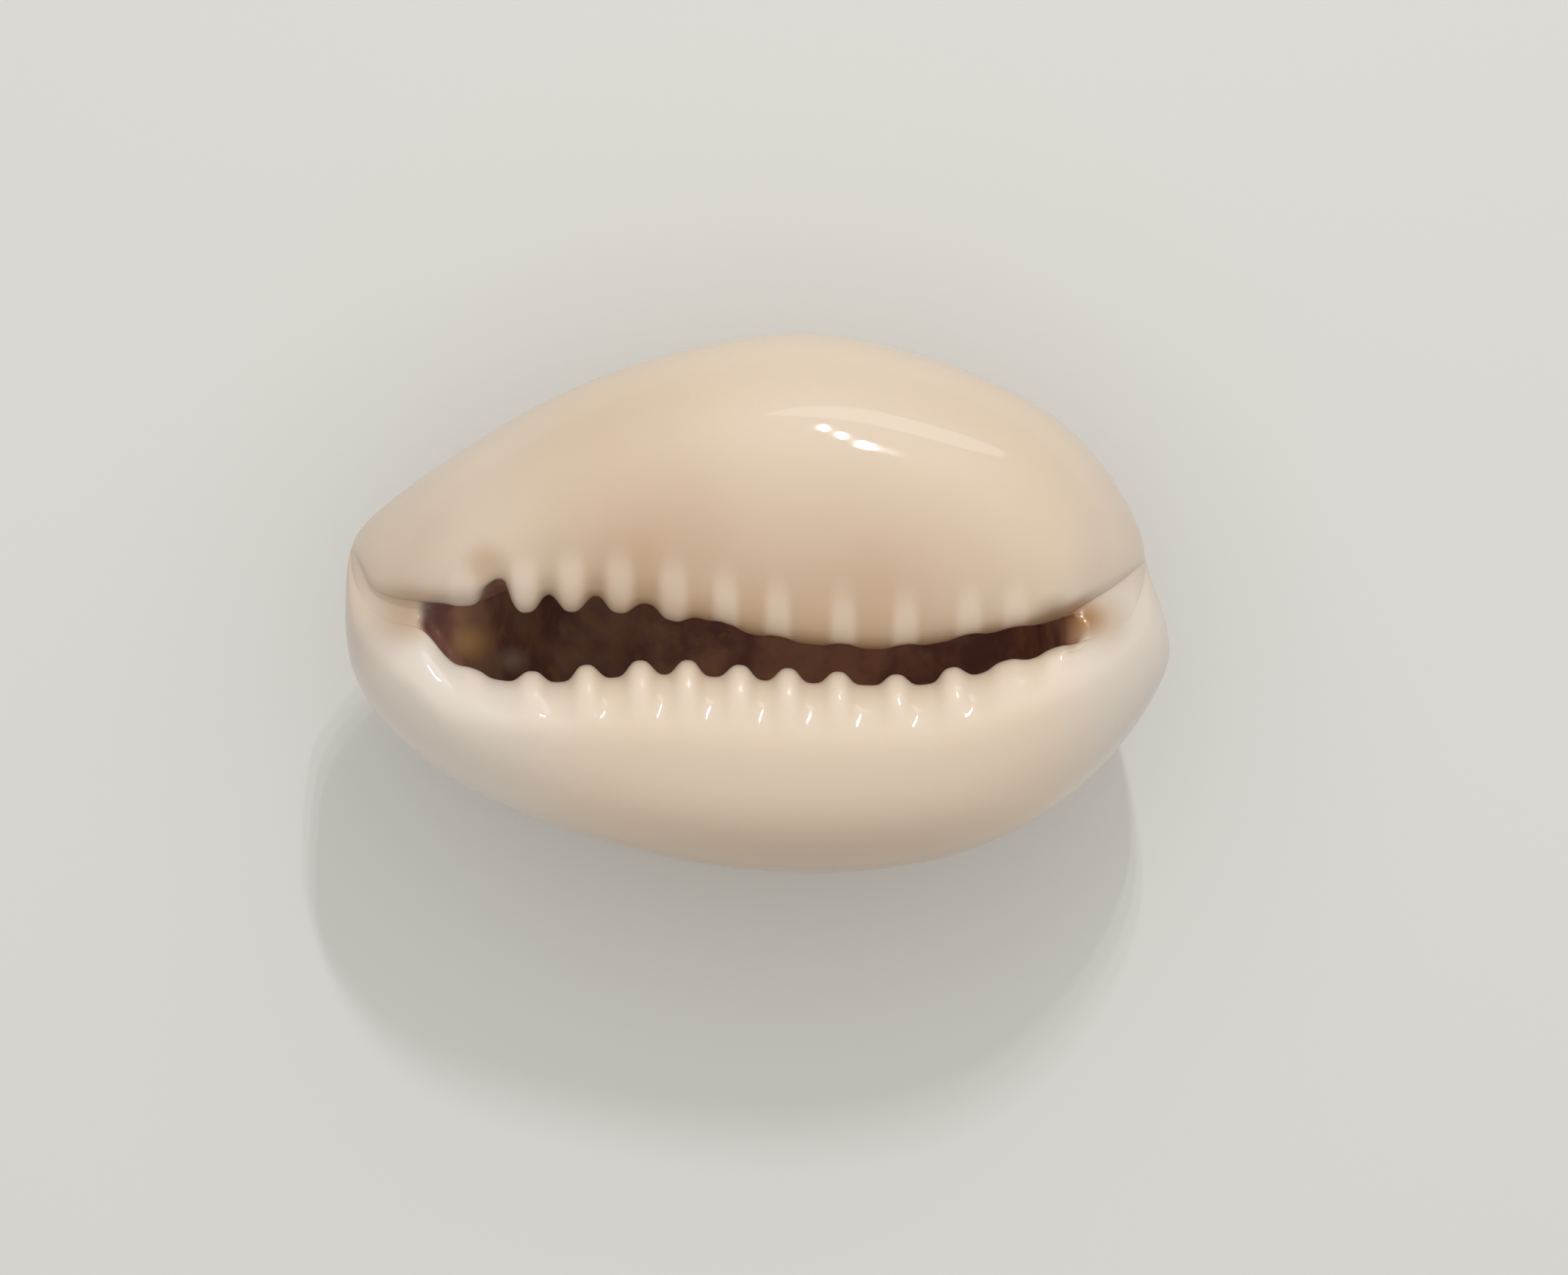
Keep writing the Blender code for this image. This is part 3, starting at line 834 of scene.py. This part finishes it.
def plain_floor():
    """A wide square of matt paper under the shell."""
    mesh = bpy.data.meshes.new("floor")
    corners = [(-1, -1, 0), (1, -1, 0), (1, 1, 0), (-1, 1, 0)]
    mesh.from_pydata([Vector(corner) * FLOOR_REACH * MM for corner in corners], [], [(0, 1, 2, 3)])
    material = bpy.data.materials.new("matt paper")
    material.use_nodes = True
    shader = material.node_tree.nodes["Principled BSDF"]
    shader.inputs["Base Color"].default_value = FLOOR_GREY
    shader.inputs["Roughness"].default_value = 0.9
    mesh.materials.append(material)
    floor = bpy.data.objects.new("floor", mesh)
    bpy.context.scene.collection.objects.link(floor)
    return floor


plain_floor()

# %% Camera
PHOTO_PIXELS_PER_MM = 44.8
PHOTO_WIDTH = 2135
VIEW_CENTRE = (0.79, -1.05)
LENS = 135
SENSOR = 36


def overhead_camera():
    """A camera that looks straight down, as far off as its lens needs for the photograph's frame."""
    view_width = PHOTO_WIDTH / PHOTO_PIXELS_PER_MM
    data = bpy.data.cameras.new("camera")
    data.lens = LENS
    data.sensor_width = SENSOR
    data.clip_start = 0.001
    camera = bpy.data.objects.new("camera", data)
    distance = view_width * LENS / SENSOR
    camera.location = Vector((*VIEW_CENTRE, MARGIN_HEIGHT + distance)) * MM
    bpy.context.scene.collection.objects.link(camera)
    bpy.context.scene.camera = camera
    return distance


print("camera is", round(overhead_camera()), "mm above the margins")

# %% [markdown]
# ## Light
#
# Polished enamel shows what is round it, so the light is planned for its reflections. A light tent, which
# is brightest overhead and dimmer towards the horizon, lets the shell darken softly towards its margins. It
# is an even gradient, because an edge in it would show as a line on the shell. A long soft strip far out on
# the +Y side leaves a pale band on the columella side. Three small lamps on that side leave the row of
# bright dots on the base and a glint beside most teeth of the outer lip.

# %% Strip and lamps
STRIP_PLACE = (55, 200, 170)
STRIP_SIZE = (115, 34)
STRIP_POWER = 0.022
STRIP_TURN = 28
LAMP_WAY = Vector((0.096, 0.61, 0.78)).normalized()
LAMP_DISTANCE = 240
LAMP_STEP = Vector((4.2, -11.0, 0))
LAMP_SIZE = (1.5, 10.0)
LAMP_POWER = 0.042


def area_light(name, place_mm, size_mm, power, turn=0.0):
    """A lamp that faces the shell. Its two sizes are along X and across it, before a turn in degrees."""
    data = bpy.data.lights.new(name, "AREA")
    data.shape = "ELLIPSE"
    data.size = size_mm[0] * MM
    data.size_y = size_mm[1] * MM
    data.energy = power
    light = bpy.data.objects.new(name, data)
    light.location = Vector(place_mm) * MM
    facing = (-light.location).to_track_quat("-Z", "Y")
    light.rotation_euler = (facing @ Quaternion((0, 0, 1), np.radians(turn))).to_euler()
    bpy.context.scene.collection.objects.link(light)


area_light("strip", STRIP_PLACE, STRIP_SIZE, STRIP_POWER, turn=STRIP_TURN)
for number in range(3):
    lamp_place = LAMP_WAY * LAMP_DISTANCE + LAMP_STEP * (number - 1)
    area_light(f"lamp {number + 1}", lamp_place, LAMP_SIZE, LAMP_POWER)
print("lights:", len(bpy.data.lights))

# %% Light tent
SKY_WAY = Vector((0.02, 0.1, 1.0)).normalized()
SKY_TINT = colour("#f6f3ee")
SKY_LOW = 0.36
SKY_HIGH = 1.24

# Cosine of the angle from the brightest way at which the tent is at its dimmest
SKY_DIM_FROM = 0.35


def soft_sky():
    """A light tent: brightest overhead, and evenly dimmer towards the horizon."""
    world = bpy.data.worlds.new("light tent")
    world.use_nodes = True
    tree = world.node_tree
    tree.nodes.clear()
    way = add(tree, "ShaderNodeTexCoord").outputs["Generated"]
    height = add(tree, "ShaderNodeVectorMath", {0: way, 1: SKY_WAY}, operation="DOT_PRODUCT")
    limits = {"Value": height, "From Min": SKY_DIM_FROM, "To Min": SKY_LOW, "To Max": SKY_HIGH}
    strength = add(tree, "ShaderNodeMapRange", limits, interpolation_type="SMOOTHSTEP")
    glow = add(tree, "ShaderNodeBackground", {"Color": SKY_TINT, "Strength": strength})
    add(tree, "ShaderNodeOutputWorld", {"Surface": glow})
    bpy.context.scene.world = world


soft_sky()
bpy.context.scene.view_settings.view_transform = "Standard"
